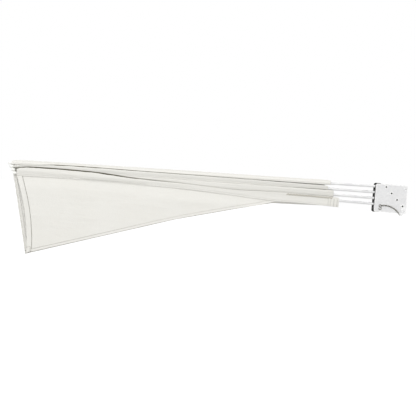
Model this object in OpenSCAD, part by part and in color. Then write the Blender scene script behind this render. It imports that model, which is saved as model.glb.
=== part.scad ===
// Folding fan screen, closed: four round arms turn on four rivets between two
// bracket plates, and a cloth with a sleeve for each arm hangs folded below them.
// X runs from the arms' free ends to the wall, Z is up, and the fan lies in the XZ
// plane. The origin is midway between the two wall bolt holes.

/* [Arms] */
// Distance from the top arm's rivet to the end of its tube
arm_length = 1400; // [1000:10:1800]
// How much longer each arm is than the arm above it
arm_step = 15; // [0:1:22]
// Outer diameter of an arm's tube
tube_d = 10; // [8:0.5:12]
// Wall of an arm's tube
tube_wall = 1; // [0.6:0.1:1.5]
// Length of the plug's spigot inside the tube
spigot_length = 20; // [12:1:40]
// Length of the cap that covers the tube's free end
cap_length = 14; // [10:1:24]

/* [Pivots] */
// Step from one rivet to the next, along X and along Z
pivot_pitch = 22; // [20:0.5:26]
// Outer diameter of a hollow rivet
rivet_d = 8; // [6:0.5:9]
// Diameter of the hole along a hollow rivet
rivet_hole_d = 6; // [4:0.2:6.4]
// Diameter of a rivet's rolled head
rivet_head_d = 11.5; // [10:0.5:14]
// Radius of the eye at the end of an arm's plug
lug_r = 7.5; // [6:0.5:8]
// Radial running clearance between an eye and its rivet
running_gap = 0.05; // [0.02:0.01:0.1]

/* [Bracket] */
// Width of the front plate
plate_width = 118; // [114:1:130]
// Height of both plates
plate_height = 104; // [102:1:120]
// Thickness of each plate
plate_t = 2; // [1.5:0.5:3]
// Open space between the plates
plate_gap = 14; // [13:0.5:18]
// How far the back plate reaches past the front plate's open edge
back_reach = 5.5; // [4:0.5:14]
// Height between the two wall bolt holes
bolt_spacing = 82.5; // [78:0.5:86]
// Diameter of a wall bolt hole
bolt_hole_d = 6.4; // [5.2:0.2:6.6]
// Distance from the wall bolt holes to the plates' wall edge
bolt_edge = 9; // [7:1:14]

/* [Cloth] */
// Wall of the cloth sleeve round each tube
sleeve_wall = 0.5; // [0.3:0.1:1]
// Thickness of one cloth layer
cloth_t = 1; // [0.6:0.1:1.2]
// Free space between two cloth layers
cloth_gap = 0.4; // [0.3:0.1:0.8]
// Distance from a rivet to the cloth's inner edge
cloth_start = 235; // [200:5:300]
// How much nearer to its rivet the top arm's sleeve starts
top_sleeve_reach = 30; // [0:5:60]
// Depth of the folded cloth below the lowest arm at its outer corner
fold_depth = 296; // [240:2:300]

/* [Chain and strap] */
// Diameter of the chain's wire
wire_d = 1.2; // [1:0.1:1.4]
// Inner length of a chain link
link_pitch = 6; // [5:0.5:7]
// Width of the strap below the lowest rivet
strap_width = 15; // [14.5:0.5:17]

/* [Hidden] */
$fn = 48;
arm_count = 4;
half_gap = plate_gap / 2;
plate_r = 6;

// Arms, rivets and the lean that brings the free ends together
lowest_pivot = [-5, -22.25];
sleeve_r = tube_d / 2 + sleeve_wall;
tip_gap = 0.4;
tip_pitch = 2 * sleeve_r + tip_gap;
function reach(n) = arm_length + (n - 1) * arm_step;
lean = atan((pivot_pitch - tip_pitch) / (reach(arm_count) - pivot_pitch));
function pivot(n) = lowest_pivot + (arm_count - n) * pivot_pitch * [-1, 1];
function arm_lean(n) = (arm_count - n) * lean;
rivet_r = rivet_d / 2;
head_t = 1;
rivet_floor = 3;
washer_r = lug_r - 0.5;
lug_t = tube_d - 0.4;
washer_gap = 0.15;
fit_gap = 0.05;
tube_start = lug_r + 6;

// Wall bolts
bolt_r = bolt_hole_d / 2;
wall_sleeve_r = bolt_r + 1.8;
plate_top = bolt_spacing / 2 + 12.5;
plate_bottom = plate_top - plate_height;
wall_edge = bolt_edge;
open_edge = wall_edge - plate_width;
back_edge = open_edge - back_reach;

// Strap, ring, hook and chain
strap_t = 2;
strap_r = strap_width / 2;
tab_r = 4.5;
tab = [-7, plate_bottom - 4.5];
eyelet_r = 1.5;
ring_r = 3.6;
ring_wire_r = 0.8;
front_face = -half_gap - plate_t;
strap_y = front_face - strap_t / 2;
hook_r = 4.5;
hook_wire_r = 1;
hook_at = [open_edge + 22, plate_bottom + 18];
hook_open_angle = -40;
hook_pull_angle = 15;
hook_peg_angle = 200;
hook_hole_r = 1.3;
link_clear = 0.15;
link_turn_r = hook_wire_r + link_clear + wire_d / 2;
chain_y = front_face - link_turn_r - wire_d / 2 - 0.5;
link_seat = link_pitch / 2 - 1.6;
guard_inner_r = 4;
front_trim_t = 1.6;
guard_t = 1.6;
guard_grip = 4;
guard_lip = 0.9;
guard_top_run = 24;

// Outline of the folded cloth: its lower edge is nearly level near the rivets, then
// runs to the outer corner with a slight hollow, and its upper edge follows the top arm
cloth_bend = [480, 38];
cloth_inner_depth = 24;
cloth_rise = 8;
outer_corner = [sqrt(pow(arm_length + 14, 2) - pow(fold_depth + 4, 2)), fold_depth + 4];
waist_share = 0.39;
edge_hollow = 16;
cloth_waist = cloth_bend + waist_share * (outer_corner - cloth_bend) - [0, edge_hollow];
layer_start = sleeve_r + cloth_gap;
layer_step = cloth_t + cloth_gap;
cloth_inner = cloth_start + 40;
top_inner = cloth_start + 5;
under_end_gap = 6;
over_end_gap = 40;
gusset_end_gap = 60;
flap_inner = 500;
flap_inner_depth = 32;
flap_top = sleeve_r - 1;
flap_rise = 8;
flap_edge = 6;

function at(s, d) = [lowest_pivot[0] - s, lowest_pivot[1] - d];
function arm_point(n, along, above) =
    let (p = pivot(n), a = arm_lean(n))
    [p[0] - along * cos(a) + above * sin(a) * -1, p[1] - along * sin(a) + above * cos(a)];

zinc = [0.80, 0.81, 0.82];
bright = [0.90, 0.90, 0.90];
nylon = [0.93, 0.93, 0.90];
cream = [0.93, 0.92, 0.89];
black = [0.06, 0.06, 0.06];
dark_steel = [0.36, 0.34, 0.28];

// Shapes drawn in X and Z and given a thickness from y0 to y0 + t
module slab(y0, t) {
    translate([0, y0 + t, 0]) rotate([90, 0, 0]) linear_extrude(t) children();
}

module rounded_outline(left, right, bottom, top, r) {
    translate([left + r, bottom]) square([right - left - 2 * r, top - bottom]);
    translate([left, bottom + r]) square([right - left, top - bottom - 2 * r]);
    for (x = [left + r, right - r], z = [bottom + r, top - r]) translate([x, z]) circle(r);
}

// A straight bar from a to b, a hair narrower than the round ends it joins
module bar_outline(a, b, r) {
    d = b - a;
    half = r - 0.02;
    translate(a) circle(r);
    translate(b) circle(r);
    translate(a) rotate(atan2(d[1], d[0])) translate([0, -half]) square([norm(d), 2 * half]);
}

// Turns and moves what runs along -X from a rivet to the arm's place
module on_arm(n) {
    p = pivot(n);
    translate([p[0], 0, p[1]]) rotate([0, -arm_lean(n), 0]) children();
}

module along_arm(from, length, r) {
    translate([-from - length, 0, 0]) rotate([0, 90, 0]) cylinder(h = length, r = r);
}

module across(x, z, r, y0, t) {
    translate([x, y0 + t, z]) rotate([90, 0, 0]) cylinder(h = t, r = r);
}

module pivot_holes(r) {
    for (n = [1:arm_count]) translate(pivot(n)) circle(r);
}

module bolt_holes() {
    for (z = [-1, 1]) translate([0, z * bolt_spacing / 2]) circle(bolt_r);
}

module front_plate() color(zinc) slab(-half_gap - plate_t, plate_t) difference() {
    rounded_outline(open_edge, wall_edge, plate_bottom, plate_top, plate_r);
    pivot_holes(rivet_r);
    bolt_holes();
    translate(hook_at + hook_peg_place()) circle(hook_hole_r);
}

module back_outline() {
    rounded_outline(back_edge, wall_edge, plate_bottom, plate_top, plate_r);
}

module back_plate() color(zinc) slab(half_gap, plate_t) difference() {
    back_outline();
    pivot_holes(rivet_r);
    bolt_holes();
}

// Black trim: a strip along the front plate's open edge, and a channel pressed over
// the back plate's open edge and its two corners
module edge_guard() color(black) {
    slab(front_face, plate_t) translate([open_edge - front_trim_t, plate_bottom + plate_r])
        square([front_trim_t, plate_height - 2 * plate_r]);
    back_guard();
}

module back_guard() difference() {
    slab(half_gap - guard_lip, plate_t + 2 * guard_lip) difference() {
        rounded_outline(back_edge - guard_t, wall_edge, plate_bottom - guard_t,
            plate_top + guard_t, plate_r + guard_t);
        rounded_outline(back_edge + guard_grip, wall_edge, plate_bottom + guard_grip,
            plate_top - guard_grip, guard_inner_r);
        translate([back_edge + guard_top_run, plate_bottom - 10])
            square([plate_width, plate_height + 20]);
    }
    slab(half_gap, plate_t) back_outline();
}

module wall_sleeves() color(bright) difference() {
    for (z = [-1, 1]) across(0, z * bolt_spacing / 2, wall_sleeve_r, -half_gap, plate_gap);
    for (z = [-1, 1])
        across(0, z * bolt_spacing / 2, bolt_r, -half_gap - 1, plate_gap + 2);
}

// Hollow from the front. The lowest rivet also holds the strap, so its head sits
// further out.
module pivot_rivets() color(bright) for (n = [1:arm_count]) {
    p = pivot(n);
    front = half_gap + plate_t + (n == arm_count ? strap_t : 0);
    back = half_gap + plate_t;
    difference() {
        union() {
            across(p[0], p[1], rivet_r, -front, front + back);
            across(p[0], p[1], rivet_head_d / 2, -front - head_t, head_t);
            across(p[0], p[1], rivet_head_d / 2, back, head_t);
        }
        across(p[0], p[1], rivet_hole_d / 2, -front - 2 * head_t,
            front + back + 3 * head_t - rivet_floor);
    }
}

module pivot_washers() color(nylon) for (n = [1:arm_count], side = [-1, 1]) {
    p = pivot(n);
    inner = lug_t / 2 + washer_gap;
    t = half_gap - inner;
    y0 = side > 0 ? inner : -half_gap;
    difference() {
        across(p[0], p[1], washer_r, y0, t);
        across(p[0], p[1], rivet_r + fit_gap, y0 - 1, t + 2);
    }
}

module corner_strap() color(bright) slab(front_face - strap_t, strap_t) difference() {
    union() {
        bar_outline(lowest_pivot, [0, -bolt_spacing / 2], strap_r);
        bar_outline([0, -bolt_spacing / 2] + [-1, -1], tab, tab_r);
    }
    translate(lowest_pivot) circle(rivet_r);
    translate([0, -bolt_spacing / 2]) circle(bolt_r);
    translate(tab) circle(eyelet_r);
}

module strap_ring() color(bright)
    translate([tab[0] - ring_r, strap_y, tab[1]])
        rotate_extrude() translate([ring_r, 0]) circle(ring_wire_r, $fn = 24);

// Centre line of the hook: an S in the plate's plane, then the peg into the plate
hook_steps = 12;
function hook_bend(centre_z, from, to) = [
    for (i = [0:hook_steps]) let (a = from + (to - from) * i / hook_steps)
    [hook_r * cos(a), centre_z + hook_r * sin(a)]
];
hook_line = concat(hook_bend(hook_r, hook_open_angle, 270),
    hook_bend(-hook_r, 90, hook_peg_angle - 360));
function hook_peg_place() = hook_line[len(hook_line) - 1];
function hook_eye_place() =
    [hook_r * cos(hook_pull_angle), hook_r * (1 + sin(hook_pull_angle))];

module wire_ball(place, y) {
    translate([hook_at[0] + place[0], y, hook_at[1] + place[1]])
        sphere(hook_wire_r, $fn = 14);
}

module chain_hook() color(dark_steel) {
    for (i = [1:len(hook_line) - 1]) hull() {
        wire_ball(hook_line[i - 1], chain_y);
        wire_ball(hook_line[i], chain_y);
    }
    hull() {
        wire_ball(hook_peg_place(), chain_y);
        wire_ball(hook_peg_place(), front_face + plate_t - 0.2 - hook_wire_r);
    }
}

// One chain link, long along X, its wire a loop with two straight sides
module chain_link() {
    straight = link_pitch + wire_d - 2 * link_turn_r;
    for (side = [-1, 1]) {
        translate([side * straight / 2, 0, 0]) rotate(side * 90 - 180)
            rotate_extrude(angle = 180) translate([link_turn_r, 0]) circle(wire_d / 2, $fn = 16);
        translate([-straight / 2, side * link_turn_r, 0]) rotate([0, 90, 0])
            cylinder(h = straight, d = wire_d, $fn = 16);
    }
}

// The chain lies in an arch from the hook's closed bend to the strap's ring
chain_rise = 12;
ring_reach = ring_r * (1 + cos(asin((strap_y - chain_y) / ring_r)));
chain_from = hook_at + hook_eye_place();
chain_to = tab - [ring_reach, 0];
chain_fall = atan2(chain_to[1] - chain_from[1], chain_to[0] - chain_from[0]);
chain_chord = norm(chain_to - chain_from);
chain_arc_r = (pow(chain_chord / 2, 2) + pow(chain_rise, 2)) / (2 * chain_rise);
chain_bow = asin(chain_chord / 2 / chain_arc_r);
// The end links seat on the hook and on the ring, so the row of links is shorter
seat_turn = 2 * asin(link_seat / 2 / chain_arc_r);
row_bow = chain_bow - seat_turn;
row_length = 2 * row_bow / 180 * PI * chain_arc_r;
// An odd number of steps turns the last link a quarter from the first
link_steps = 2 * ceil((row_length / (link_pitch - 0.3) - 1) / 2) + 1;
function chain_place(turn) =
    (chain_from + chain_to) / 2
    + chain_arc_r * sin(turn) * [cos(chain_fall), sin(chain_fall)]
    - chain_arc_r * (cos(turn) - cos(chain_bow)) * [sin(chain_fall), -cos(chain_fall)];

module keeper_chain() color(dark_steel) for (i = [0:link_steps]) {
    turn = row_bow * (2 * i / link_steps - 1);
    p = chain_place(turn);
    translate([p[0], chain_y, p[1]]) rotate([0, turn - chain_fall, 0])
        rotate([i % 2 == 0 ? 0 : 90, 0, 0]) chain_link();
}

module tube(n) color(bright) on_arm(n) difference() {
    along_arm(tube_start, reach(n) - tube_start, tube_d / 2);
    along_arm(tube_start - 1, reach(n) - tube_start + 2, tube_d / 2 - tube_wall);
}

module hinge_eye(n) color(nylon) on_arm(n) difference() {
    union() {
        across(0, 0, lug_r, -lug_t / 2, lug_t);
        along_arm(0, tube_start, tube_d / 2 - 0.3);
        along_arm(0, tube_start + spigot_length, tube_d / 2 - tube_wall - fit_gap);
    }
    across(0, 0, rivet_r + running_gap, -lug_t, 2 * lug_t);
}

// A cap with a skirt over the tube and a rounded end
module end_cap(n) color(nylon) on_arm(n) {
    round_r = 2;
    translate([-reach(n) + cap_length - 4, 0, 0]) rotate([0, -90, 0]) rotate_extrude()
        difference() {
            union() {
                square([sleeve_r, cap_length - round_r]);
                square([sleeve_r - round_r, cap_length]);
                translate([sleeve_r - round_r, cap_length - round_r]) circle(round_r);
            }
            translate([-1, -1]) square([tube_d / 2 + fit_gap + 1, cap_length - 3]);
        }
}

module sleeve(n) color(cream) on_arm(n) difference() {
    start = cloth_start - (n == 1 ? top_sleeve_reach : 0);
    stop = reach(n) - cap_length + 3.5;
    along_arm(start, stop - start, sleeve_r);
    along_arm(start - 1, stop - start + 2, tube_d / 2 + fit_gap);
}

// One layer of folded cloth, from the lower edge up to the line of the top arm
module cloth_layer(place, inner, outer) color(cream)
    slab(layer_start + place * layer_step, cloth_t)
        polygon([
            at(inner, cloth_inner_depth),
            at(cloth_bend[0], cloth_bend[1]),
            at(cloth_waist[0], cloth_waist[1]),
            at(outer_corner[0], outer_corner[1]),
            arm_point(1, outer, 0),
            arm_point(1, cloth_bend[0], cloth_rise),
            arm_point(1, top_inner, cloth_rise)
        ]);

// How much further an arm's rivet lies from the wall than the lowest arm's
function arm_shift(n) = (arm_count - n) * pivot_pitch;

module cloth_under(n) cloth_layer(arm_count - n, cloth_inner, arm_length - under_end_gap);

module cloth_over(n) cloth_layer(2 * arm_count - n, cloth_inner, arm_length - over_end_gap);

// Fills the inner part above the lowest arm, behind the other arms
module cloth_gusset() color(cream) slab(layer_start, cloth_t) polygon([
    at(top_inner, 0),
    at(arm_length - gusset_end_gap, 0),
    arm_point(1, arm_length - gusset_end_gap - arm_shift(1), 0),
    arm_point(1, cloth_bend[0], cloth_rise),
    arm_point(1, top_inner, cloth_rise)
]);

// The fold in front of the lowest arm
module front_flap() color(cream) slab(-sleeve_r - cloth_gap - cloth_t, cloth_t) polygon([
    at(flap_inner, flap_top),
    at(flap_inner, flap_inner_depth),
    at(cloth_waist[0], cloth_waist[1] - flap_rise),
    at(outer_corner[0] - flap_edge, outer_corner[1] - flap_rise),
    at(reach(arm_count) - cap_length, flap_top)
]);

front_plate();
back_plate();
edge_guard();
wall_sleeves();
pivot_rivets();
pivot_washers();
corner_strap();
strap_ring();
keeper_chain();
chain_hook();
tube(1);  // tube_1
tube(2);  // tube_2
tube(3);  // tube_3
tube(4);  // tube_4
hinge_eye(1);  // hinge_eye_1
hinge_eye(2);  // hinge_eye_2
hinge_eye(3);  // hinge_eye_3
hinge_eye(4);  // hinge_eye_4
end_cap(1);  // end_cap_1
end_cap(2);  // end_cap_2
end_cap(3);  // end_cap_3
end_cap(4);  // end_cap_4
sleeve(1);  // sleeve_1
sleeve(2);  // sleeve_2
sleeve(3);  // sleeve_3
sleeve(4);  // sleeve_4
cloth_under(1);  // cloth_under_1
cloth_under(2);  // cloth_under_2
cloth_under(3);  // cloth_under_3
cloth_over(2);  // cloth_over_2
cloth_over(3);  // cloth_over_3
cloth_over(4);  // cloth_over_4
cloth_gusset();
front_flap();
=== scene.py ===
from math import cos, exp, pi, radians, sin, sqrt

import bmesh
import bpy
from mathutils import Matrix, Vector, noise


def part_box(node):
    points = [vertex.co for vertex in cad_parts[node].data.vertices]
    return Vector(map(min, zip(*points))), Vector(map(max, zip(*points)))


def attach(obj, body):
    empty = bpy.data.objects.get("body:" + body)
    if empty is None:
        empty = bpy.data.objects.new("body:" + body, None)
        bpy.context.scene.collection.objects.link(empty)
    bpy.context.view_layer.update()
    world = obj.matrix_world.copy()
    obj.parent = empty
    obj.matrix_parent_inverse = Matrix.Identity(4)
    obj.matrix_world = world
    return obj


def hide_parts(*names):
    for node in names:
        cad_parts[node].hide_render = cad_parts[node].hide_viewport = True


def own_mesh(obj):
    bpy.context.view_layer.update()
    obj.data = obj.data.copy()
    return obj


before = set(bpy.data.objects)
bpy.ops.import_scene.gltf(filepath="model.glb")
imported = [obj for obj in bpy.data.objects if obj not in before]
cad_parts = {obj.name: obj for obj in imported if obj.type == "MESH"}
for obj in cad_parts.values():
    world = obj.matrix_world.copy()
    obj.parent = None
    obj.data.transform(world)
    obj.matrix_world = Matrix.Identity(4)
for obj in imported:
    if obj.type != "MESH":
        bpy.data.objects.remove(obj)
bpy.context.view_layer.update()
print("frame loaded,", len(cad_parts), "nodes")


# camera: in front of the fan, a little above it
cameraView = {
    "target": (-0.7203, 0.0, -0.0913),  # m
    "distance": 4.711,
    "turn": -0.90,  # degrees
    "height": 3.46,
    "roll": 4.92,
    "lens": 109.8,  # mm
}


def addCamera(view):
    turn, height, roll = (radians(view[k]) for k in ("turn", "height", "roll"))
    ahead = Vector((sin(turn) * cos(height), cos(turn) * cos(height), -sin(height)))
    side = ahead.cross(Vector((0, 0, 1))).normalized()
    up = side.cross(ahead)
    rolledSide = side * cos(roll) + up * sin(roll)
    rolledUp = up * cos(roll) - side * sin(roll)
    camera = bpy.data.objects.new("camera", bpy.data.cameras.new("camera"))
    camera.data.lens = view["lens"]
    camera.data.clip_end = 100
    place = Matrix((rolledSide, rolledUp, -ahead)).transposed().to_4x4()
    place.translation = Vector(view["target"]) - ahead * view["distance"]
    camera.matrix_world = place
    bpy.context.scene.collection.objects.link(camera)
    bpy.context.scene.camera = camera


addCamera(cameraView)


def newMaterial(name, color, roughness, metallic=0.0):
    material = bpy.data.materials.new(name)
    material.use_nodes = True
    shader = material.node_tree.nodes["Principled BSDF"]
    shader.inputs["Base Color"].default_value = (*color, 1)
    shader.inputs["Roughness"].default_value = roughness
    shader.inputs["Metallic"].default_value = metallic
    return material, material.node_tree, shader


def addNode(tree, kind, inputs=None, **settings):
    node = tree.nodes.new(kind)
    for key, value in settings.items():
        setattr(node, key, value)
    for key, value in (inputs or {}).items():
        if isinstance(value, bpy.types.NodeSocket):
            tree.links.new(value, node.inputs[key])
        else:
            node.inputs[key].default_value = value
    return node


def calc(tree, operation, a, b=0.0):
    return addNode(tree, "ShaderNodeMath", {0: a, 1: b}, operation=operation).outputs[0]


def vectorMath(tree, operation, a, b=(0, 0, 0)):
    return addNode(tree, "ShaderNodeVectorMath", {0: a, 1: b}, operation=operation).outputs


def remap(tree, value, low, high, toLow=0.0, toHigh=1.0):
    node = addNode(tree, "ShaderNodeMapRange", {"Value": value, "From Min": low, "From Max": high,
                                                "To Min": toLow, "To Max": toHigh})
    return node.outputs["Result"]


def mixColor(tree, factor, a, b):
    node = addNode(tree, "ShaderNodeMix", data_type="RGBA")
    for key, value in (("Factor", factor), ("A", a), ("B", b)):
        socket = next(s for s in node.inputs if s.name == key and (key == "Factor" or s.type == "RGBA"))
        if isinstance(value, bpy.types.NodeSocket):
            tree.links.new(value, socket)
        else:
            socket.default_value = value if key == "Factor" else (*value, 1)
    return next(s for s in node.outputs if s.type == "RGBA")


def newGroup(name, inputs, outputs):
    group = bpy.data.node_groups.new(name, "ShaderNodeTree")
    for label, kind, value in inputs:
        socket = group.interface.new_socket(label, in_out="INPUT", socket_type=kind)
        if value is not None:
            socket.default_value = value
    for label, kind in outputs:
        group.interface.new_socket(label, in_out="OUTPUT", socket_type=kind)
    return group, group.nodes.new("NodeGroupInput").outputs, group.nodes.new("NodeGroupOutput").inputs


def placeGroup(tree, group, inputs):
    return addNode(tree, "ShaderNodeGroup", inputs, node_tree=group).outputs


def stretch(tree, vector, scale, location=(0, 0, 0)):
    inputs = {"Vector": vector, "Scale": scale, "Location": location}
    return addNode(tree, "ShaderNodeMapping", inputs).outputs["Vector"]


def objectPlace(tree, scale=(1, 1, 1), location=(0, 0, 0)):
    return stretch(tree, addNode(tree, "ShaderNodeTexCoord").outputs["Object"], scale, location)


def noiseValue(tree, vector, scale, detail=3.0, roughness=0.55):
    return addNode(tree, "ShaderNodeTexNoise", {"Vector": vector, "Scale": scale, "Detail": detail,
                                                "Roughness": roughness}).outputs["Fac"]


def bumpInto(tree, shader, height, distance, strength=1.0, normal=None):
    inputs = {"Height": height, "Distance": distance, "Strength": strength}
    if normal is not None:
        inputs["Normal"] = normal
    bump = addNode(tree, "ShaderNodeBump", inputs)
    tree.links.new(bump.outputs["Normal"], shader.inputs["Normal"])


def feed(tree, shader, **values):
    # feed(tree, shader, BaseColor=tone, Roughness=rough)
    for name, value in values.items():
        tree.links.new(value, shader.inputs["Base Color" if name == "BaseColor" else name])


def addScaled(tree, a, b, amount):
    return calc(tree, "ADD", a, calc(tree, "MULTIPLY", b, amount))


def partMix(tree, mask, amount, a, b):
    # where the mask is 1, only this amount of b shows
    return mixColor(tree, calc(tree, "MULTIPLY", mask, amount), a, b)


def makeWeaveGroup():
    # over-and-under threads on coordinates in metres
    group, given, out = newGroup(
        "wovenThreads",
        [("Vector", "NodeSocketVector", None), ("Threads Per Metre", "NodeSocketFloat", 1500.0)],
        [("Height", "NodeSocketFloat"), ("Gap", "NodeSocketFloat")])
    parts = addNode(group, "ShaderNodeSeparateXYZ", {0: given["Vector"]}).outputs
    angle = calc(group, "MULTIPLY", given["Threads Per Metre"], pi)
    waves = [calc(group, "SINE", calc(group, "MULTIPLY", parts[i], angle)) for i in (0, 1)]
    warp, weft = (calc(group, "ABSOLUTE", w) for w in waves)
    over = calc(group, "GREATER_THAN", calc(group, "MULTIPLY", waves[0], waves[1]), 0.0)
    under = calc(group, "SUBTRACT", 1.0, over)
    group.links.new(addScaled(group, calc(group, "MULTIPLY", warp, over), weft, under), out["Height"])
    gap = remap(group, calc(group, "MAXIMUM", warp, weft), 0.75, 1.0, 1.0, 0.0)
    group.links.new(gap, out["Gap"])
    return group


def makeStitchGroup():
    # a row of thread dashes at a distance from a seam
    group, given, out = newGroup(
        "stitchRow",
        [("Along", "NodeSocketFloat", 0.0), ("Distance", "NodeSocketFloat", 0.0),
         ("Row", "NodeSocketFloat", 0.004), ("Pitch", "NodeSocketFloat", 0.004)],
        [("Thread", "NodeSocketFloat"), ("Pucker", "NodeSocketFloat")])
    offset = calc(group, "ABSOLUTE", calc(group, "SUBTRACT", given["Distance"], given["Row"]))
    across = remap(group, offset, 0.0002, 0.0006, 1.0, 0.0)
    phase = calc(group, "FRACT", calc(group, "DIVIDE", given["Along"], given["Pitch"]))
    fromMiddle = calc(group, "ABSOLUTE", calc(group, "SUBTRACT", phase, 0.5))
    dash = remap(group, fromMiddle, 0.28, 0.38, 1.0, 0.0)
    group.links.new(calc(group, "MULTIPLY", across, dash), out["Thread"])
    group.links.new(remap(group, offset, 0.0, 0.003, 1.0, 0.0), out["Pucker"])
    return group


def makeEdgeBandGroup():
    # 1 along the border of a plate that lies in X and Z, 0 further in: the mask of the painted highlight
    # along its edges
    group, given, out = newGroup(
        "plateEdge",
        [("Vector", "NodeSocketVector", None), ("Centre", "NodeSocketVector", None),
         ("Half", "NodeSocketVector", None), ("Width", "NodeSocketFloat", 0.002)],
        [("Mask", "NodeSocketFloat")])
    away = vectorMath(group, "SUBTRACT", given["Vector"], given["Centre"])[0]
    reach = vectorMath(group, "ABSOLUTE", away)[0]
    inside = vectorMath(group, "SUBTRACT", given["Half"], reach)[0]
    parts = addNode(group, "ShaderNodeSeparateXYZ", {0: inside}).outputs
    nearest = calc(group, "MINIMUM", parts[0], parts[2])
    wobble = calc(group, "SUBTRACT", noiseValue(group, given["Vector"], 260.0), 0.5)
    edge = calc(group, "SUBTRACT", nearest, calc(group, "MULTIPLY", wobble, 0.002))
    scaled = calc(group, "DIVIDE", edge, given["Width"])
    group.links.new(remap(group, scaled, 0.3, 1.0, 1.0, 0.0), out["Mask"])
    return group


def makeHandlingGroup():
    # faint smudges and dust of a finish that has been handled
    group, given, out = newGroup(
        "handlingMarks",
        [("Vector", "NodeSocketVector", None), ("Size", "NodeSocketFloat", 30.0)],
        [("Smudge", "NodeSocketFloat"), ("Speck", "NodeSocketFloat")])
    broad = noiseValue(group, given["Vector"], given["Size"], 5.0, 0.6)
    group.links.new(remap(group, broad, 0.4, 0.7), out["Smudge"])
    fine = noiseValue(group, given["Vector"], 1400.0, 2.0)
    group.links.new(remap(group, fine, 0.66, 0.74), out["Speck"])
    return group


weaveGroup = makeWeaveGroup()
stitchGroup = makeStitchGroup()
edgeBandGroup = makeEdgeBandGroup()
handlingGroup = makeHandlingGroup()


lugRadius = 0.0075  # m, of the eye at the end of each arm


def armLine(arm):
    # rivet centre and the direction towards the arm's free end
    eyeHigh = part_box(f"hinge_eye_{arm}")[1]
    rivet = Vector((eyeHigh.x - lugRadius, 0, eyeHigh.z - lugRadius))
    low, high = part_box(f"tube_{arm}")
    tip = Vector((low.x, 0, low.z + (high.y - low.y) / 2))
    return rivet, (tip - rivet).normalized()


armNumbers = (1, 2, 3, 4)


clothLook = {
    "base": (0.752, 0.745, 0.712),
    "shade": (0.690, 0.668, 0.610),
    "thread": (0.620, 0.600, 0.550),
    # colour of the painted shade in grooves, along hem edges and round folds (the paintedShade attribute)
    "seam": (0.085, 0.078, 0.048),
    "threadsPerMetre": 1300.0,
    "stitchRow": 0.0045,  # m from the seam
    "stitchPitch": 0.0042,
    "sheen": 0.15,
    "smudges": 0.22,
    "slubs": 0.35,
    "gaps": 0.30,
    "weaveHeight": 0.00012,  # m
    "stitchHeight": 0.0006,
    "puckerDepth": 0.0005,
}


def makeClothMaterial(name, look, foldHeight):
    material, tree, shader = newMaterial(name, look["base"], 0.86)
    shader.inputs["Sheen Weight"].default_value = look["sheen"]
    shader.inputs["Specular IOR Level"].default_value = 0.25
    flat = addNode(tree, "ShaderNodeUVMap", uv_map="UVMap").outputs["UV"]
    parts = addNode(tree, "ShaderNodeSeparateXYZ", {0: flat}).outputs
    seam = addNode(tree, "ShaderNodeAttribute", attribute_name="seamDistance").outputs["Fac"]
    paintedShade = addNode(tree, "ShaderNodeAttribute", attribute_name="paintedShade").outputs["Fac"]
    weave = placeGroup(tree, weaveGroup, {"Vector": flat, "Threads Per Metre": look["threadsPerMetre"]})
    stitch = placeGroup(tree, stitchGroup, {"Along": parts[0], "Distance": seam,
                                            "Row": look["stitchRow"], "Pitch": look["stitchPitch"]})
    marks = placeGroup(tree, handlingGroup, {"Vector": flat, "Size": 7.0})
    # long soft creases run along the folded cloth
    creases = noiseValue(tree, stretch(tree, flat, (1.0, 7.0, 1.0)), 5.0, 5.0, 0.6)
    slubs = noiseValue(tree, stretch(tree, flat, (1.0, 30.0, 1.0)), 60.0, 3.0)
    tone = partMix(tree, marks["Smudge"], look["smudges"], look["base"], look["shade"])
    tone = partMix(tree, remap(tree, slubs, 0.5, 0.8), look["slubs"], tone, look["shade"])
    # painted shade in the gaps between threads
    tone = partMix(tree, weave["Gap"], look["gaps"], tone, look["shade"])
    tone = mixColor(tree, stitch["Thread"], tone, look["thread"])
    # painted shade: darker where the paintedShade attribute is set, in grooves between sleeves, along hem
    # edges and in folds
    tone = mixColor(tree, paintedShade, tone, look["seam"])
    feed(tree, shader, BaseColor=tone, Roughness=remap(tree, slubs, 0.2, 0.8, 0.80, 0.94))
    folds = addNode(tree, "ShaderNodeBump", {"Height": creases, "Distance": foldHeight, "Strength": 1.0})
    raised = calc(tree, "SUBTRACT", calc(tree, "MULTIPLY", stitch["Thread"], look["stitchHeight"]),
                  calc(tree, "MULTIPLY", stitch["Pucker"], look["puckerDepth"]))
    height = addScaled(tree, raised, weave["Height"], look["weaveHeight"])
    bumpInto(tree, shader, height, 1.0, 1.0, folds.outputs["Normal"])
    return material


tubeLook = {"metallic": 0.92, "clean": (0.82, 0.82, 0.82), "smudged": (0.72, 0.72, 0.73),
            "rough": (0.20, 0.34), "drawLines": (3, 420, 420), "lineDepth": 0.00006}


def makeTubeMaterial(look):
    # faint lines run along the drawn tube
    material, tree, shader = newMaterial("drawnTube", look["clean"], 0.28, look["metallic"])
    lines = noiseValue(tree, objectPlace(tree, look["drawLines"]), 3.0, 4.0, 0.65)
    marks = placeGroup(tree, handlingGroup, {"Vector": objectPlace(tree), "Size": 26.0})
    feed(tree, shader, BaseColor=mixColor(tree, marks["Smudge"], look["clean"], look["smudged"]),
         Roughness=addScaled(tree, remap(tree, lines, 0.3, 0.7, *look["rough"]), marks["Speck"], 0.25))
    bumpInto(tree, shader, lines, look["lineDepth"], 0.8)
    return material


zincLook = {
    "light": (0.83, 0.83, 0.83),
    "dark": (0.70, 0.70, 0.71),
    # colour of the painted highlight along the plate edges
    "edge": (0.96, 0.96, 0.95),
    "cellsPerMetre": 230.0,
    "edgeWidth": 0.0035,
    "metallic": 0.70,
    "grainDepth": 0.00005,
}


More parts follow.
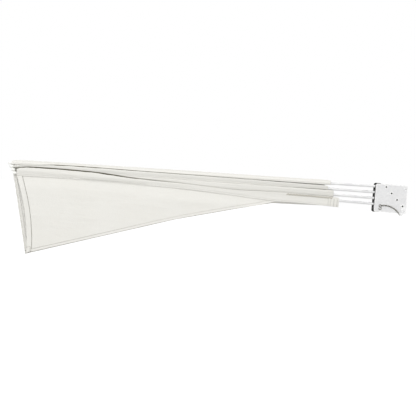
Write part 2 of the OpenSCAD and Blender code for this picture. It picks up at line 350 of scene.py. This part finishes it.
def makeZincMaterial(name, node, look):
    material, tree, shader = newMaterial(name, look["light"], 0.42, look["metallic"])
    place = objectPlace(tree)
    low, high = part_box(node)
    cells = addNode(tree, "ShaderNodeTexVoronoi", {"Vector": place, "Scale": look["cellsPerMetre"]})
    crystal = addNode(tree, "ShaderNodeSeparateColor", {0: cells.outputs["Color"]}).outputs[0]
    grain = noiseValue(tree, place, 900.0, 3.0)
    marks = placeGroup(tree, handlingGroup, {"Vector": place, "Size": 55.0})
    edge = placeGroup(tree, edgeBandGroup, {"Vector": place, "Centre": (low + high) / 2,
                                            "Half": (high - low) / 2, "Width": look["edgeWidth"]})
    tone = partMix(tree, crystal, 0.55, look["light"], look["dark"])
    tone = partMix(tree, marks["Smudge"], 0.35, tone, look["dark"])
    # painted highlight: a lighter, glossier band along the plate's edges
    tone = mixColor(tree, edge["Mask"], tone, look["edge"])
    rough = addScaled(tree, remap(tree, crystal, 0.0, 1.0, 0.34, 0.50), marks["Speck"], 0.2)
    rough = addScaled(tree, rough, edge["Mask"], -0.12)
    feed(tree, shader, BaseColor=tone, Roughness=rough)
    bumpInto(tree, shader, addScaled(tree, grain, crystal, 0.6), look["grainDepth"], 0.8)
    return material


brightLook = {"metallic": 0.80, "clean": (0.96, 0.96, 0.96), "smudged": (0.84, 0.84, 0.84),
              "rough": (0.16, 0.34), "brushing": (900, 900, 60), "brushDepth": 0.00004}


def makeBrightMaterial(look):
    material, tree, shader = newMaterial("brightSteel", look["clean"], 0.24, look["metallic"])
    brushed = noiseValue(tree, objectPlace(tree, look["brushing"]), 2.0, 4.0, 0.6)
    marks = placeGroup(tree, handlingGroup, {"Vector": objectPlace(tree), "Size": 120.0})
    feed(tree, shader, BaseColor=mixColor(tree, marks["Smudge"], look["clean"], look["smudged"]),
         Roughness=remap(tree, brushed, 0.3, 0.7, *look["rough"]))
    bumpInto(tree, shader, brushed, look["brushDepth"], 0.7)
    return material


rivetLook = {"rim": (0.95, 0.95, 0.94), "smudged": (0.82, 0.82, 0.81), "paintedBoreShade": (0.035, 0.034, 0.020),
             "boreRadius": 0.0031, "boreFade": 0.0004, "metallic": (0.75, 0.10), "rough": (0.22, 0.55)}


def makeRivetMaterial(look):
    # bright heads, and painted shade in the dark bore
    material, tree, shader = newMaterial("hollowRivet", look["rim"], 0.26, look["metallic"][0])
    place = objectPlace(tree)
    distance = 1.0
    for arm in armNumbers:
        rivet = armLine(arm)[0]
        flat = objectPlace(tree, (1, 0, 1), (-rivet.x, 0, -rivet.z))
        away = vectorMath(tree, "LENGTH", flat)["Value"]
        distance = calc(tree, "MINIMUM", away, distance)
    radius, fade = look["boreRadius"], look["boreFade"]
    ragged = addScaled(tree, distance, noiseValue(tree, place, 900.0), fade)
    paintedBoreShade = remap(tree, ragged, radius, radius + fade, 1.0, 0.0)
    marks = placeGroup(tree, handlingGroup, {"Vector": place, "Size": 150.0})
    tone = partMix(tree, marks["Smudge"], 0.5, look["rim"], look["smudged"])
    feed(tree, shader, BaseColor=mixColor(tree, paintedBoreShade, tone, look["paintedBoreShade"]),
         Metallic=remap(tree, paintedBoreShade, 0.0, 1.0, *look["metallic"]),
         Roughness=addScaled(tree, remap(tree, paintedBoreShade, 0.0, 1.0, *look["rough"]), marks["Speck"], 0.2))
    bumpInto(tree, shader, noiseValue(tree, place, 1300.0), 0.00004, 0.7)
    return material


nylonLook = {"clean": (0.86, 0.86, 0.83), "smudged": (0.76, 0.75, 0.70), "rough": (0.36, 0.52)}


def makeNylonMaterial(look):
    material, tree, shader = newMaterial("whiteNylon", look["clean"], 0.42)
    shader.inputs["Specular IOR Level"].default_value = 0.45
    place = objectPlace(tree)
    skin = noiseValue(tree, place, 1500.0, 3.0)
    marks = placeGroup(tree, handlingGroup, {"Vector": place, "Size": 160.0})
    feed(tree, shader, BaseColor=partMix(tree, marks["Smudge"], 0.4, look["clean"], look["smudged"]),
         Roughness=remap(tree, marks["Smudge"], 0.0, 1.0, *look["rough"]))
    bumpInto(tree, shader, skin, 0.00004, 0.6)
    return material


trimLook = {"clean": (0.007, 0.007, 0.005), "smudged": (0.022, 0.021, 0.016), "dustAndShade": (0.10, 0.10, 0.08),
            "rough": (0.52, 0.72)}


def makeTrimMaterial(look):
    # near-black trim, whose black also stands in for the shade inside the bracket's mouth between the tubes
    material, tree, shader = newMaterial("blackTrimAndShade", look["clean"], 0.62)
    place = objectPlace(tree)
    skin = noiseValue(tree, place, 1100.0, 4.0)
    marks = placeGroup(tree, handlingGroup, {"Vector": place, "Size": 140.0})
    tone = partMix(tree, marks["Smudge"], 0.5, look["clean"], look["smudged"])
    tone = partMix(tree, marks["Speck"], 0.3, tone, look["dustAndShade"])
    feed(tree, shader, BaseColor=tone, Roughness=remap(tree, skin, 0.3, 0.7, *look["rough"]))
    bumpInto(tree, shader, skin, 0.00008, 0.8)
    return material


chainLook = {"metal": (0.115, 0.105, 0.068), "aged": (0.040, 0.032, 0.018), "rough": (0.28, 0.62),
             "metallic": (0.75, 0.30), "pitDepth": 0.00008}


def makeChainMaterial(look):
    # dull brown patches on the wire
    material, tree, shader = newMaterial("agedChain", look["metal"], 0.42, 0.85)
    place = objectPlace(tree)
    patches = remap(tree, noiseValue(tree, place, 330.0, 4.0, 0.6), 0.38, 0.66)
    pits = noiseValue(tree, place, 2200.0, 3.0)
    feed(tree, shader, BaseColor=mixColor(tree, patches, look["metal"], look["aged"]),
         Roughness=remap(tree, patches, 0.0, 1.0, *look["rough"]),
         Metallic=remap(tree, patches, 0.0, 1.0, *look["metallic"]))
    bumpInto(tree, shader, pits, look["pitDepth"], 0.8)
    return material


clothMaterial = makeClothMaterial("wovenCloth", clothLook, foldHeight=0.0015)
panelMaterial = makeClothMaterial("foldedCloth", clothLook, foldHeight=0.006)
tubeMaterial = makeTubeMaterial(tubeLook)
brightMaterial = makeBrightMaterial(brightLook)
nylonMaterial = makeNylonMaterial(nylonLook)
chainMaterial = makeChainMaterial(chainLook)
trimMaterial = makeTrimMaterial(trimLook)
nodeMaterials = {
    "front_plate": makeZincMaterial("frontZinc", "front_plate", zincLook),
    "back_plate": makeZincMaterial("backZinc", "back_plate", zincLook),
    "edge_guard": trimMaterial,
    "wall_sleeves": brightMaterial,
    "pivot_rivets": makeRivetMaterial(rivetLook),
    "pivot_washers": nylonMaterial,
    "corner_strap": brightMaterial,
    "strap_ring": brightMaterial,
    "keeper_chain": chainMaterial,
    "chain_hook": chainMaterial,
}
for arm in armNumbers:
    nodeMaterials[f"tube_{arm}"] = tubeMaterial
    nodeMaterials[f"hinge_eye_{arm}"] = nylonMaterial
    nodeMaterials[f"end_cap_{arm}"] = nylonMaterial
for nodeName, material in nodeMaterials.items():
    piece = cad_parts[nodeName]
    if not piece.material_slots:
        piece.data.materials.append(material)
    for slot in piece.material_slots:
        slot.material = material
print("materials ready")


armLines = {arm: armLine(arm) for arm in armNumbers}
lowestRivet = armLines[4][0]


def onArm(arm, along, above, y=0.0):
    rivet, ahead = armLines[arm]
    up = Vector((ahead.z, 0, -ahead.x))
    return rivet + ahead * along + up * above + Vector((0, y, 0))


def below(along, depth, y=0.0):
    # along the lowest arm from its rivet, and down
    return lowestRivet + Vector((-along, y, -depth))


def smooth(value, low=0.0, high=1.0):
    t = min(max((value - low) / (high - low), 0.0), 1.0)
    return t * t * (3 - 2 * t)


def straightThrough(stops, at):
    for (a, x), (b, y) in zip(stops, stops[1:]):
        if at <= b:
            return x + (y - x) * (max(at, a) - a) / (b - a)
    return stops[-1][1]


def curveThrough(stops, at):
    # a smooth curve through the stops, level with its neighbours' slope at each
    count = len(stops)
    at = min(max(at, stops[0][0]), stops[-1][0])
    i = next(k for k in range(count - 1) if at <= stops[k + 1][0])

    def slope(k):
        before, after = stops[max(k - 1, 0)], stops[min(k + 1, count - 1)]
        return (after[1] - before[1]) / (after[0] - before[0])

    (a, x), (b, y) = stops[i], stops[i + 1]
    width = b - a
    t = (at - a) / width
    return ((2 * t ** 3 - 3 * t ** 2 + 1) * x + (t ** 3 - 2 * t ** 2 + t) * width * slope(i)
            + (3 * t ** 2 - 2 * t ** 3) * y + (t ** 3 - t ** 2) * width * slope(i + 1))


def ripple(x, y, size, seed):
    return noise.noise(Vector((x / size, y / size, seed)))


def gridPiece(name, stepsAlong, stepsAcross, place, material, thickness, closed=False):
    # place(u, v) gives the point, its flat place in metres, the seam distance and the painted shade
    bm = bmesh.new()
    bmesh.ops.create_grid(bm, x_segments=stepsAlong, y_segments=stepsAcross, size=0.5)
    seamLayer = bm.verts.layers.float.new("seamDistance")
    paintedShadeLayer = bm.verts.layers.float.new("paintedShade")
    flatLayer = bm.loops.layers.uv.new("UVMap")
    flatOf = {}
    for vert in bm.verts:
        u, v = vert.co.x + 0.5, vert.co.y + 0.5
        point, flatOf[vert], vert[seamLayer], vert[paintedShadeLayer] = place(u, v)
        vert.co = point
    for face in bm.faces:
        for loop in face.loops:
            loop[flatLayer].uv = flatOf[loop.vert]
    if closed:
        bmesh.ops.remove_doubles(bm, verts=bm.verts, dist=1e-6)
    bmesh.ops.recalc_face_normals(bm, faces=bm.faces)
    return finishSheet(name, bm, material, thickness)


def finishSheet(name, bm, material, thickness):
    mesh = bpy.data.meshes.new(name)
    bm.to_mesh(mesh)
    bm.free()
    piece = bpy.data.objects.new(name, mesh)
    bpy.context.scene.collection.objects.link(piece)
    mesh.materials.append(material)
    wall = piece.modifiers.new("wall", "SOLIDIFY")
    wall.thickness = thickness
    wall.offset = 0
    bpy.context.view_layer.update()
    graph = bpy.context.evaluated_depsgraph_get()
    solid = bpy.data.meshes.new_from_object(piece.evaluated_get(graph), preserve_all_data_layers=True,
                                            depsgraph=graph)
    piece.modifiers.clear()
    piece.data = solid
    solid.polygons.foreach_set("use_smooth", [True] * len(solid.polygons))
    return piece


# a cloth sleeve round each arm
sleeveLook = {
    "thickness": 0.0005,
    "stepLength": 0.003,
    "around": 56,
    "edgeHalf": 0.0012,  # half the thickness of the flat upper edge
    "lowerHalf": 0.0047,  # and of the cloth below the tube
    "tubeHalf": 0.0057,  # half the thickness over the tube
    # how far the front bows out over the arm above, along the arm
    "forward": {
        2: [(0.2, 0.0032), (1.5, 0.0032)],
        3: [(0.2, 0.0032), (0.42, 0.0028), (0.55, 0.0012), (1.5, 0.0010)],
        4: [(0.2, 0.0018), (0.80, 0.0018), (0.95, 0.0032), (1.5, 0.0032)],
    },
    # height of the upper edge over the arm's axis, along the arm
    "upper": {
        1: [(0.20, 0.0120), (0.45, 0.0120), (0.75, 0.0135), (1.15, 0.0135), (1.36, 0.0125), (1.40, 0.010)],
        2: [(0.23, 0.0115), (0.45, 0.013), (0.9, 0.0145), (1.24, 0.0145), (1.34, 0.0070), (1.41, 0.006)],
        3: [(0.23, 0.0165), (0.40, 0.0150), (0.60, 0.0130), (0.85, 0.0112), (1.05, 0.0092), (1.43, 0.006)],
        4: [(0.23, 0.0125), (0.45, 0.012), (0.65, 0.0072), (0.83, 0.0132), (1.0, 0.0160),
            (1.15, 0.0245), (1.38, 0.0235), (1.44, 0.0165)],
    },
    # depth of the lower edge under the axis
    "lower": {
        1: [(0.20, 0.0060), (1.40, 0.0057)],
        2: [(0.23, 0.0065), (0.5, 0.0062), (1.41, 0.0057)],
        3: [(0.23, 0.0075), (0.45, 0.0080), (0.60, 0.0100), (0.72, 0.0100), (0.85, 0.0064), (1.43, 0.0057)],
        4: [(0.23, 0.0240), (0.38, 0.0215), (0.46, 0.0228), (0.53, 0.0195), (0.62, 0.0145),
            (0.75, 0.0085), (0.90, 0.0062), (1.20, 0.0062), (1.43, 0.0100)],
    },
    # how dark the painted shade is in the groove above each upper edge, along the arm
    "dustAndShade": {
        2: [(0.23, 0.9), (0.40, 0.6), (0.9, 0.75), (1.1, 1.0), (1.25, 1.0), (1.33, 0.2), (1.5, 0.0)],
        3: [(0.23, 1.0), (0.33, 0.8), (0.45, 0.2), (1.5, 0.0)],
        4: [(0.23, 0.12), (0.8, 0.2), (0.95, 0.6), (1.08, 1.0), (1.35, 1.0), (1.5, 0.5)],
    },
    "shadeDepth": {2: 0.0036, 3: 0.0030, 4: 0.0062},
    "flatWidth": {1: 0.046, 2: 0.048, 3: 0.046, 4: 0.062},
    "endGather": 0.0022,  # how much the upper edge drops at both ends
    "wander": (0.0012, 0.0006),  # of the loose edge, in long and short waves
    "hemRise": 0.0005,
    "tuckRun": 0.040,  # the tucks sewn across the lowest sleeve's inner end
    "tuckPitch": 0.0115,
    "tuckHeight": 0.0016,
    "tuckShade": 0.30,
}


def edgeHeight(look, arm, x):
    # height of an upper edge over the lowest rivet, at a place along X
    rivet, ahead = armLines[arm]
    along = (rivet.x - x) / -ahead.x
    return (onArm(arm, along, curveThrough(look["upper"][arm], along)) - lowestRivet).z, along


# painted shade on the cloth just above the upper edge of each lower sleeve, in the groove between them
def grooveShade(look, arm, point):
    dustAndShade = 0.0
    for lower in range(arm + 1, 5):
        height, along = edgeHeight(look, lower, point.x)
        depth = look["shadeDepth"][lower]
        near = smooth(height + depth - (point - lowestRivet).z, 0.0, depth * 0.5)
        dustAndShade = max(dustAndShade, near * straightThrough(look["dustAndShade"][lower], along))
    return dustAndShade


def sleeveFront(look, above):
    # how far the cloth stands in front of the arm: a thin edge above the tube, a full one below
    edge = look["edgeHalf"] if above > 0 else look["lowerHalf"]
    return edge + (look["tubeHalf"] - edge) * exp(-((above / 0.005) ** 2))


def addSleeve(arm, look):
    nodeLow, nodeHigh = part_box(f"sleeve_{arm}")
    rivet = armLines[arm][0]
    start, end = rivet.x - nodeHigh.x, rivet.x - nodeLow.x
    length = end - start
    longWave, shortWave = look["wander"]

    def tuckWave(along):
        return cos(2 * pi * (along - start) / look["tuckPitch"])

    def place(u, v):
        along = start + u * length
        over = curveThrough(look["upper"][arm], along)
        under = curveThrough(look["lower"][arm], along)
        # both ends are gathered a little
        fromEnd = min(along - start, end - along)
        over -= look["endGather"] * smooth(0.012 - fromEnd, 0.0, 0.012)
        middle, half = (over - under) / 2, (over + under) / 2
        turn = 2 * pi * v
        # the edge wanders a little where the cloth is loose on its tube
        loose = smooth(over, 0.008, 0.016)
        wander = longWave * loose * ripple(along, 0, 0.045, arm)
        wander += shortWave * loose * ripple(along, 0, 0.012, arm + 9)
        up = -cos(turn)
        above = middle + half * up + wander * smooth(up, 0.2, 1.0)
        side = -sin(turn)
        full = side / sqrt(side * side + 0.12)
        front = sleeveFront(look, above)
        y = full * front
        if arm > 1 and above > 0:
            bow = straightThrough(look["forward"][arm], along) * smooth(above, 0.0, 0.012)
            y -= look["tubeHalf"] - front + bow
        if full < 0:
            gather = smooth(0.06 - fromEnd, 0.0, 0.06)
            wrinkle = 0.5 + 0.5 * ripple(along * 0.45, above, 0.009, arm + 3)
            wrinkle += 0.5 + 0.5 * ripple(along, above, 0.007, arm + 5)
            pulled = smooth(ripple(along, above * 2, 0.09, arm + 14), 0.05, 0.5)
            y += full * (0.0003 + 0.0005 * gather + 0.0007 * pulled) * wrinkle
            if arm == 4:
                tuck = smooth(look["tuckRun"] - (along - start), 0.0, 0.006)
                tuck *= smooth(0.006 - above, 0.0, 0.006)
                y -= look["tuckHeight"] * tuck * (0.5 + 0.5 * tuckWave(along))
            # the fold of the hem stands up at both ends
            y += full * look["hemRise"] * smooth(0.010 - fromEnd, 0.0, 0.003)
        perimeter = 2 * (over + under)
        seam = abs(above + under - 0.002)
        point = onArm(arm, along, above, y)
        paintedShade = grooveShade(look, arm, point) if full < 0 else 0.0
        # painted shade in the troughs between the tucks
        if arm == 4 and along - start < look["tuckRun"] and above < 0.004 and full < 0:
            paintedShade = look["tuckShade"] * smooth(-tuckWave(along), 0.55, 0.95)
        return point, (along, v * perimeter), seam, paintedShade

    piece = gridPiece(f"armSleeve{arm}", round(length / look["stepLength"]), look["around"], place,
                      clothMaterial, look["thickness"], closed=True)
    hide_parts(f"sleeve_{arm}")
    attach(piece, "bracket" if arm == 1 else f"arm_{arm}")


for arm in armNumbers:
    addSleeve(arm, sleeveLook)
print("arm sleeves made")


# the half panels, folded behind the arms
panelLook = {
    "thickness": 0.0005,
    "hemThickness": 0.00095,
    "hemWidth": 0.014,
    "width": 1.15,
    "height": 0.30,
    "stepLength": 0.009,
    "flat": (1.19, 0.37),  # m, one half panel before it was folded
    "area": 0.232,
    # depth of the lower edge under the lowest arm's axis, along that arm
    "lower": [(0.275, 0.022), (0.48, 0.031), (0.60, 0.061), (0.83, 0.122), (1.382, 0.300)],
    "innerTop": 0.240,
    "rise": [(0.24, 0.0115), (0.49, 0.0115), (1.39, 0.005)],
}


def panelPoint(look, outer, u, v):
    # u runs from the rivets outwards and v from the top arm down to the fold
    topAlong = look["innerTop"] + u * (outer - look["innerTop"])
    top = onArm(1, topAlong, straightThrough(look["rise"], topAlong))
    first, last = look["lower"][0][0], look["lower"][-1][0]
    lowAlong = first + u * (last - first)
    low = below(lowAlong, straightThrough(look["lower"], lowAlong))
    return top.lerp(low, v), top, low


def addPanel(name, node, body, outer, look, seed, bulge=0.0):
    nodeLow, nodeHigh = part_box(node)
    middle = (nodeLow.y + nodeHigh.y) / 2

    def place(u, v):
        point, top, low = panelPoint(look, outer, u, v)
        s, d = lowestRivet.x - point.x, lowestRivet.z - point.z
        # creases fan out from the rivets, so they're drawn on the angle seen from there
        fan = d / max(s, 0.05)
        fold = noise.noise(Vector((s / 0.55, fan * 16, seed)))
        fold += 0.5 * noise.noise(Vector((s / 0.22, fan * 38, seed)))
        inward = smooth(v, 0.0, 0.12) * smooth(1 - v, 0.0, 0.05) * smooth(u, 0, 0.04) * smooth(1 - u, 0, 0.03)
        y = middle + 0.00018 * fold
        if bulge:
            y += bulge * inward * max(0.0, 0.55 + 0.9 * fold)
        seam = min((1 - v) * (low - top).length, (1 - u) * look["width"], 1.0)
        point.y = y
        return point, (s, d), seam, 0.0

    columns, rows = (round(look[side] / look["stepLength"]) for side in ("width", "height"))
    piece = gridPiece(name, columns, rows, place, panelMaterial, look["thickness"])

    def lowerHem(u, v):
        top, low = panelPoint(look, outer, u, 1.0)[1:]
        share = look["hemWidth"] / (low - top).length
        return place(u, 1 - share * (1 - v))

    def outerHem(u, v):
        return place(1 - look["hemWidth"] / look["width"] * (1 - u), v)

    hems = [gridPiece(name + "LowerHem", columns, 3, lowerHem, panelMaterial, look["hemThickness"]),
            gridPiece(name + "OuterHem", 3, rows, outerHem, panelMaterial, look["hemThickness"])]
    for part in [piece] + hems:
        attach(part, body)
    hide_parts(node)


def panelReach(node):
    # along the top arm, from its rivet
    return armLines[1][0].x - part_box(node)[0].x


for arm in (1, 2, 3):
    node, body = f"cloth_under_{arm}", "bracket" if arm == 1 else f"arm_{arm}"
    addPanel(f"underPanel{arm}", node, body, panelReach(node), panelLook, arm * 3.1)
for arm in (2, 3, 4):
    node = f"cloth_over_{arm}"
    addPanel(f"overPanel{arm}", node, f"cloth_{arm}", panelReach(node), panelLook, arm * 5.7,
             bulge=0.006 if arm == 2 else 0.0)
print("folded panels made")


# cloth bunched behind the lowest arm
gussetLook = {"thickness": 0.0006, "inner": 0.242, "outer": 1.340, "lowerDepth": 0.004, "height": 0.06,
              "flat": (1.10, 0.075), "area": 0.060}


def addGusset(look):
    nodeLow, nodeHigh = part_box("cloth_gusset")
    middle = (nodeLow.y + nodeHigh.y) / 2
    rivetStagger = lowestRivet.x - armLines[1][0].x

    def place(u, v):
        along = look["inner"] + u * (look["outer"] - look["inner"])
        low = below(along, look["lowerDepth"])
        # the top arm's rivet is three rivet steps further out than the lowest arm's
        top = onArm(1, along - rivetStagger * u, straightThrough(panelLook["rise"], along) * (1 - u))
        point = top.lerp(low, v)
        point.y = middle + 0.0002 * ripple(along, v * look["height"], 0.05, 31)
        return point, (along, v * look["height"]), 1.0, 0.0

    piece = gridPiece("innerGusset", 120, 8, place, panelMaterial, look["thickness"])
    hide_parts("cloth_gusset")
    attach(piece, "arm_4")


addGusset(gussetLook)


# the fold in front of the lowest arm
flapLook = {
    "thickness": 0.0006,
    "inner": 0.470,
    "outerTop": 1.434,
    "outerLow": 1.377,
    "outerBow": 0.014,  # how far the outer edge curves in
    # depths of both edges under the lowest arm's axis, along that arm
    "upper": [(0.47, 0.0215), (0.60, 0.0140), (0.75, 0.0068), (0.90, 0.0028), (1.10, 0.0002),
              (1.24, 0.0022), (1.44, 0.0100)],
    "lower": [(0.470, 0.0230), (0.53, 0.0425), (0.60, 0.0590), (0.83, 0.1205), (1.124, 0.2140),
              (1.377, 0.2940)],
    "restY": -0.0064,
    "hemWidth": 0.020,
    "hemRise": 0.0006,
    "hemThickness": 0.0008,
    "lowerHemWidth": 0.011,
    "cornerFold": (0.015, 0.021),  # width and height
    "cornerRise": 0.0014,
    "cornerPuff": 0.0022,
    "width": 0.9,
    "height": 0.29,
    "stepLength": 0.0042,
    "flat": (0.97, 0.30),
    "area": 0.156,
    "squashAnchorDepth": 0.008,
    "keep": 0.04,
}


def flapEdges(look, u):
    topAlong = look["inner"] + u * (look["outerTop"] - look["inner"])
    lowAlong = look["inner"] + u * (look["outerLow"] - look["inner"])
    top = (topAlong, curveThrough(look["upper"], topAlong))
    return top, (lowAlong, curveThrough(look["lower"], lowAlong))


def flapPoint(look, u, v, lift=0.0):
    top, low = flapEdges(look, u)
    along = top[0] + (low[0] - top[0]) * v - look["outerBow"] * 4 * v * (1 - v) * u ** 3
    depth = top[1] + (low[1] - top[1]) * v
    drop = depth - top[1]
    # it is sewn to the sleeve's front and hangs clear of the panels
    sewn = -sleeveFront(sleeveLook, depth) - 0.0008
    y = sewn + (look["restY"] - sewn) * smooth(drop, 0.0, 0.045)
    fan = depth / along
    free = smooth(drop, 0.004, 0.05)
    y -= free * 0.0014 * noise.noise(Vector((along / 0.40, fan * 9, 2.2)))
    y -= free * 0.0007 * noise.noise(Vector((along / 0.13, fan * 24, 7.7)))
    y -= smooth(drop, 0.0, 0.012) * 0.0003 * noise.noise(Vector((along / 0.030, depth / 0.020, 4.4)))
    # puckers under the sewn top edge
    y -= 0.0006 * exp(-drop / 0.012) * noise.noise(Vector((along / 0.011, 0, 6.1)))
    seam = min((1 - v) * (low[1] - top[1]), (1 - u) * 0.9, drop + 0.001)
    # painted shade along the sewn top edge, where the flap meets the sleeve
    dustAndShade = 0.30 * smooth(0.0016 - drop, 0.0, 0.0016)
    return below(along, depth, y - lift), (along, depth), seam, dustAndShade


def squashFlap(piece):
    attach(piece, "arm_4")
    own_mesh(piece)


def addFlap(look):
    columns, rows = (round(look[side] / look["stepLength"]) for side in ("width", "height"))
    flap = gridPiece("frontFlap", columns, rows, lambda u, v: flapPoint(look, u, v), clothMaterial,
                     look["thickness"])

    def outerHem(u, v):
        width = look["hemWidth"] / look["width"]
        raised = look["hemRise"] * smooth(u, 0.0, 0.12)
        point, flat = flapPoint(look, 1 - width * (1 - u), v, raised)[:2]
        # the last value is painted shade along the hem's inner edge
        return point, flat, abs(u - 0.06) * look["hemWidth"] + 0.0035, 0.80 * smooth(0.12 - u, 0.0, 0.1)

    def lowerHem(u, v):
        top, low = flapEdges(look, u)
        width = look["lowerHemWidth"]
        share = min(width / max(low[1] - top[1], 0.001), 1.0)
        raised = look["hemRise"] * 0.6 * smooth(v, 0.0, 0.3)
        point, flat = flapPoint(look, u, 1 - share * (1 - v), raised)[:2]
        # painted shade along the lower hem's inner edge, stronger towards the outer end
        shown = 0.06 + 0.24 * smooth(flat[0], 0.9, 1.15)
        return point, flat, abs(v - 0.1) * width + 0.0035, shown * smooth(0.3 - v, 0.0, 0.3)

    def cornerFold(u, v):
        top, low = flapEdges(look, 1.0)
        width, height = look["cornerFold"]
        across, up = width / look["width"], height / (low[1] - top[1])
        puff = look["cornerPuff"]
        for share in (u, v):
            puff *= sqrt(max(0.0, 1 - (2 * share - 1) ** 4))
        point, flat = flapPoint(look, 1 - across * (1 - u), 1 - up * (1 - v), look["cornerRise"] + puff)[:2]
        # the last value is painted shade round the edges of the raised corner fold
        return point, flat, 0.2, 0.55 * smooth(0.12 - min(u, v, 1 - u), 0.0, 0.12)

    hems = [gridPiece("flapOuterHem", 12, rows, outerHem, clothMaterial, look["hemThickness"]),
            gridPiece("flapLowerHem", columns, 8, lowerHem, clothMaterial, look["hemThickness"]),
            gridPiece("flapCornerFold", 14, 14, cornerFold, clothMaterial, look["hemThickness"])]
    for part in [flap] + hems:
        squashFlap(part)
    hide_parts("front_flap")


addFlap(flapLook)
print("front flap made")


def threadBar(bm, start, end, radius):
    made = bmesh.ops.create_cone(bm, cap_ends=True, segments=8, radius1=radius, radius2=radius * 0.8,
                                 depth=(end - start).length)
    turn = (end - start).to_track_quat("Z", "Y").to_matrix().to_4x4()
    bmesh.ops.transform(bm, matrix=Matrix.Translation((start + end) / 2) @ turn, verts=made["verts"])


# the zigzag row along the lowest sleeve's upper edge, near its inner end
threadLook = {
    "radius": 0.0010,
    "color": (0.28, 0.25, 0.18),
    "first": 0.262,
    "last": 0.430,
    "pitch": 0.0055,
    "halfWidth": 0.0022,
    "low": (0.0070, -0.0079),  # depth under the sleeve's edge, and place in front of the arm
    "high": (0.0012, -0.0083),
}


def makeThreadMaterial(look):
    material, tree, shader = newMaterial("sewingThread", look["color"], 0.8)
    inputs = {"Vector": objectPlace(tree), "Scale": 900.0, "Distortion": 1.0}
    twist = addNode(tree, "ShaderNodeTexWave", inputs, bands_direction="DIAGONAL").outputs["Fac"]
    feed(tree, shader, BaseColor=mixColor(tree, twist, look["color"], tuple(c * 1.3 for c in look["color"])))
    bumpInto(tree, shader, twist, 0.0001, 0.8)
    return material


def addThreads(look):
    bm = bmesh.new()
    count = round((look["last"] - look["first"]) / look["pitch"])
    for i in range(count):
        along = look["first"] + i * look["pitch"]
        edge = curveThrough(sleeveLook["upper"][4], along)
        lean = look["halfWidth"] if i % 2 else -look["halfWidth"]
        low, high = (onArm(4, along + side * lean, edge - look[end][0], look[end][1])
                     for side, end in ((-1, "low"), (1, "high")))
        threadBar(bm, low, high, look["radius"])
    mesh = bpy.data.meshes.new("zigzagThread")
    bm.to_mesh(mesh)
    bm.free()
    mesh.materials.append(makeThreadMaterial(look))
    mesh.polygons.foreach_set("use_smooth", [True] * len(mesh.polygons))
    piece = bpy.data.objects.new("zigzagThread", mesh)
    bpy.context.scene.collection.objects.link(piece)
    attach(piece, "arm_4")


addThreads(threadLook)


# floor, background and lights
stageLook = {"floorHeight": -1.62, "floorSize": 60.0, "floorGlow": 0.60, "background": 1.0,
             "fillFront": 1.17, "fillBack": 0.34}


def addStage(look):
    bm = bmesh.new()
    bmesh.ops.create_grid(bm, x_segments=1, y_segments=1, size=look["floorSize"] / 2)
    mesh = bpy.data.meshes.new("floor")
    bm.to_mesh(mesh)
    bm.free()
    mesh.transform(Matrix.Translation((0, 0, look["floorHeight"])))
    floor = bpy.data.objects.new("floor", mesh)
    bpy.context.scene.collection.objects.link(floor)
    material, tree, shader = newMaterial("paleFloor", (0.93, 0.93, 0.92), 0.9)
    # the floor looks as pale as the background, but reflects like a plain floor
    shader.inputs["Emission Color"].default_value = (1, 1, 1, 1)
    floorPath = addNode(tree, "ShaderNodeLightPath")
    tree.links.new(calc(tree, "MULTIPLY", floorPath.outputs["Is Camera Ray"], look["floorGlow"]),
                   shader.inputs["Emission Strength"])
    mesh.materials.append(material)

    world = bpy.data.worlds.new("softWhite")
    world.use_nodes = True
    bpy.context.scene.world = world
    tree = world.node_tree
    shown = tree.nodes["Background"]
    shown.inputs["Color"].default_value = (1, 1, 1, 1)
    shown.inputs["Strength"].default_value = look["background"]
    # a bright studio in front of the fan and a darker one behind it give the tubes their edges
    around = addNode(tree, "ShaderNodeTexCoord").outputs["Generated"]
    toward = addNode(tree, "ShaderNodeSeparateXYZ", {0: around})
    strength = remap(tree, toward.outputs["Y"], -0.9, 0.5, look["fillFront"], look["fillBack"])
    fill = addNode(tree, "ShaderNodeBackground", {"Color": (1, 1, 1, 1), "Strength": strength})
    path = addNode(tree, "ShaderNodeLightPath")
    both = addNode(tree, "ShaderNodeMixShader", {0: path.outputs["Is Camera Ray"], 1: fill.outputs[0],
                                                 2: shown.outputs[0]})
    tree.links.new(both.outputs[0], tree.nodes["World Output"].inputs["Surface"])


addStage(stageLook)


# each light's place, size and power in watts
softLights = {
    "keyLight": ((-1.5, -2.4, 2.3), (1.6, 1.6), 47),
    "topLight": ((-0.6, 0.3, 2.0), (2.2, 0.8), 5),
    "backLight": ((-0.9, 2.8, 1.5), (2.4, 1.6), 34),
}
lightTarget = Vector((-0.7, 0, -0.1))


def addSoftLight(name, place, size, energy):
    light = bpy.data.lights.new(name, "AREA")
    light.shape = "RECTANGLE"
    light.size, light.size_y = size
    light.energy = energy
    lamp = bpy.data.objects.new(name, light)
    lamp.location = place
    lamp.rotation_euler = (lightTarget - Vector(place)).to_track_quat("-Z", "Y").to_euler()
    bpy.context.scene.collection.objects.link(lamp)


for name, settings in softLights.items():
    addSoftLight(name, *settings)
bpy.context.scene.view_settings.view_transform = "Standard"
print("stage ready")
